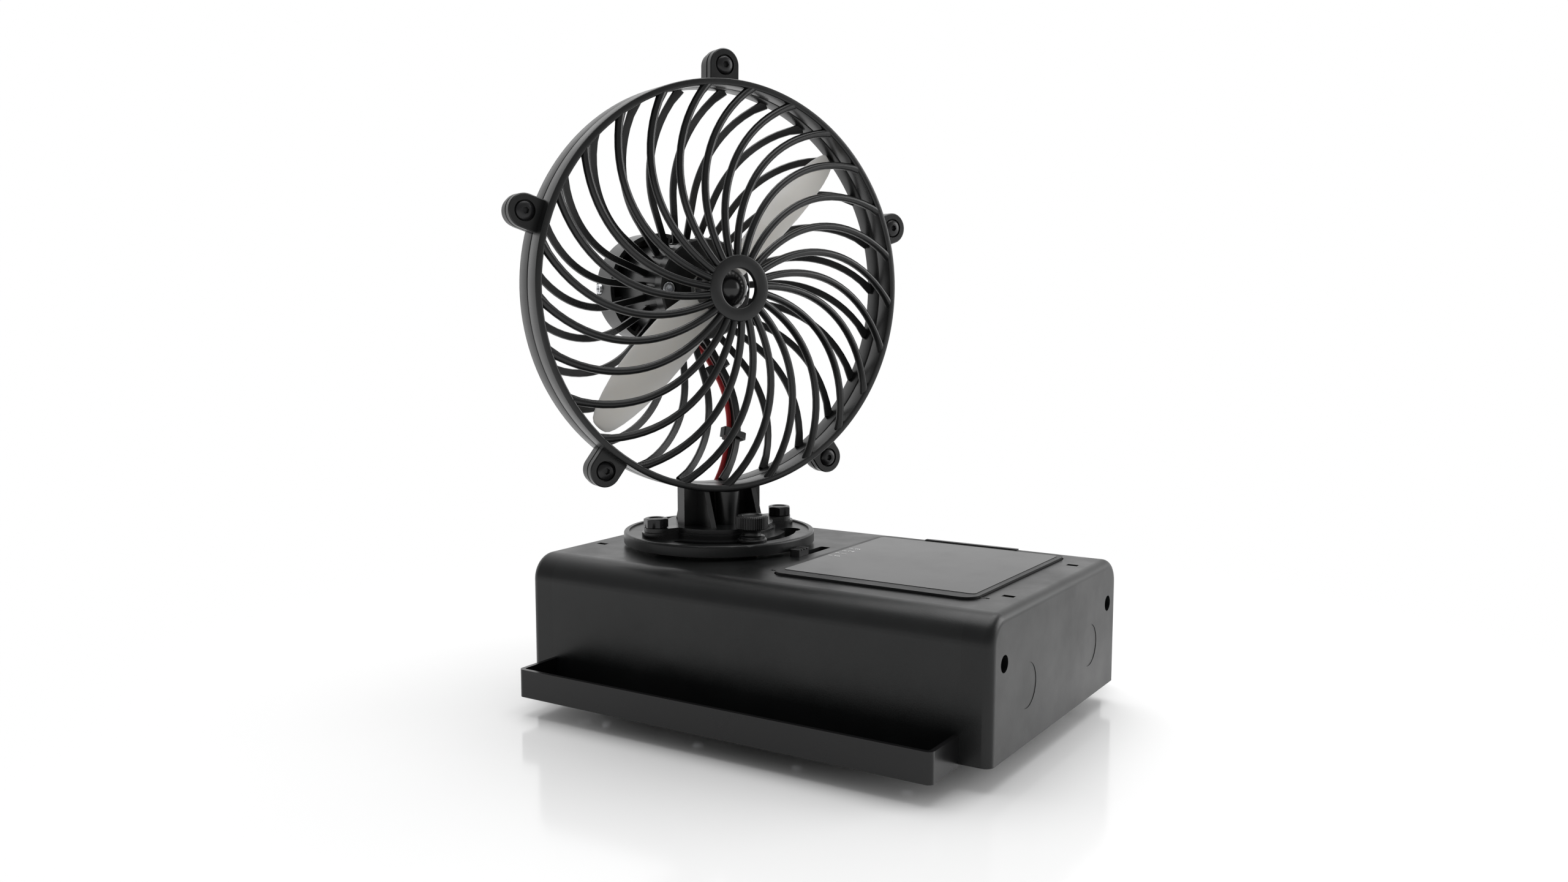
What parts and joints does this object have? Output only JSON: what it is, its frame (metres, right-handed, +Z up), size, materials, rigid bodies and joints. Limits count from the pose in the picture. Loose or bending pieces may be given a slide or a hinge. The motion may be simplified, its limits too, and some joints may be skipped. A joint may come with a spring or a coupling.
{
  "type": "battery fan cart",
  "caption": "Low black classroom cart with side trays, hidden wheels and a caged fan on a clamped turntable; the propeller pushes it along the bench.",
  "frame": {"origin": "centre of the cart's flat underside; the wheels reach 7.8 mm below it", "axes": "+X along the cart towards the end with the door, +Z up, -Y towards the side seen in the picture"},
  "size_m": [0.2003, 0.1519, 0.2354],
  "materials": {
    "black_abs": "semi-gloss moulded",
    "black_pvc": "soft PVC insulation",
    "black_screw": "black oxide",
    "board_green": "solder mask",
    "brass_insert": "turned",
    "cell_case": "plain sleeve",
    "component_black": "moulded",
    "contact_steel": "nickel plated spring steel",
    "copper_core": "laminations and enamelled windings",
    "door_black": "fine satin",
    "ferrite": "sintered ferrite",
    "guard_black": "semi-gloss moulded",
    "label_black": "glossy printed film, lettering left out",
    "magnet_nickel": "nickel plated",
    "motor_steel": "zinc plated can",
    "propeller_white": "translucent white, moulded",
    "red_pvc": "soft PVC insulation",
    "spinner_black": "semi-gloss",
    "steel": "ground",
    "tie_black": "nylon",
    "tray_black": "glossy moulded",
    "washer_nylon": "nylon",
    "wheel_black": "hard tread",
    "zinc_screw": "bright zinc"
  },
  "bodies": {
    "cart": {"body_shell": "black_abs", "chassis_plate": "black_abs", "front_cap": "black_abs", "rear_cap": "black_abs", "right_tray": "tray_black", "left_tray": "tray_black", "battery_holder": "component_black", "battery_cells": "cell_case", "battery_contacts": "contact_steel", "magnets": "magnet_nickel", "circuit_board": "board_green", "board_components": "component_black", "switch_body": "component_black", "chassis_screws": "zinc_screw", "tray_screws": "zinc_screw", "axle_bearings": "steel", "clamp_insert": "brass_insert", "friction_washer": "washer_nylon", "board_leads": "black_pvc"},
    "front_axle_set": {"front_axle": "steel", "front_wheels": "wheel_black"},
    "rear_axle_set": {"rear_axle": "steel", "rear_wheels": "wheel_black"},
    "switch_slider": {"switch_knob": "component_black"},
    "door": {"battery_door": "door_black", "door_latch": "component_black", "label_sheet": "label_black"},
    "clamp_screw": {"thumbscrew_knob": "guard_black", "thumbscrew_stud": "guard_black"},
    "turntable": {"turntable_disc": "black_abs", "disc_inserts": "brass_insert", "pivot_nut": "steel", "fan_post": "guard_black", "post_bolts": "black_screw", "rear_guard": "guard_black", "rear_grille": "guard_black", "front_guard": "guard_black", "front_grille": "guard_black", "guard_screws": "black_screw", "guard_nuts": "zinc_screw", "motor_mount": "guard_black", "mount_screws": "zinc_screw", "motor_can": "motor_steel", "motor_magnets": "ferrite", "motor_end_bell": "component_black", "motor_cover": "guard_black", "cover_screws": "zinc_screw", "red_wire": "red_pvc", "black_wire": "black_pvc", "cable_ties": "tie_black"},
    "fan_rotor": {"propeller": "propeller_white", "spinner": "spinner_black", "motor_shaft": "steel", "motor_armature": "copper_core"}
  },
  "joints": [
    {"name": "fan_yaw", "type": "hinge", "parent": "cart", "child": "turntable", "pos_m": [-0.0458, 0, 0.0466], "axis": [0, 0, 1], "range_deg": [-55, 55]},
    {"name": "propeller_spin", "type": "hinge", "parent": "turntable", "child": "fan_rotor", "pos_m": [-0.0458, 0, 0.1411], "axis": [0.9007, -0.4344, 0], "continuous": true},
    {"name": "front_axle_spin", "type": "hinge", "parent": "cart", "child": "front_axle_set", "pos_m": [0.058, 0, 0.0062], "axis": [0, 1, 0], "continuous": true},
    {"name": "rear_axle_spin", "type": "hinge", "parent": "cart", "child": "rear_axle_set", "pos_m": [-0.058, 0, 0.0062], "axis": [0, 1, 0], "continuous": true},
    {"name": "power_switch", "type": "slide", "parent": "cart", "child": "switch_slider", "axis": [0, 1, 0], "range_m": [0, 0.015]},
    {"name": "door_hinge", "type": "hinge", "parent": "cart", "child": "door", "pos_m": [0.03825, -0.0315, 0.0448], "axis": [1, 0, 0], "range_deg": [0, 100]},
    {"name": "clamp_turn", "type": "hinge", "parent": "cart", "child": "clamp_screw", "pos_m": [-0.02213, -0.01299, 0.0501], "axis": [0, 0, 1], "range_deg": [0, 350]}
  ]
}
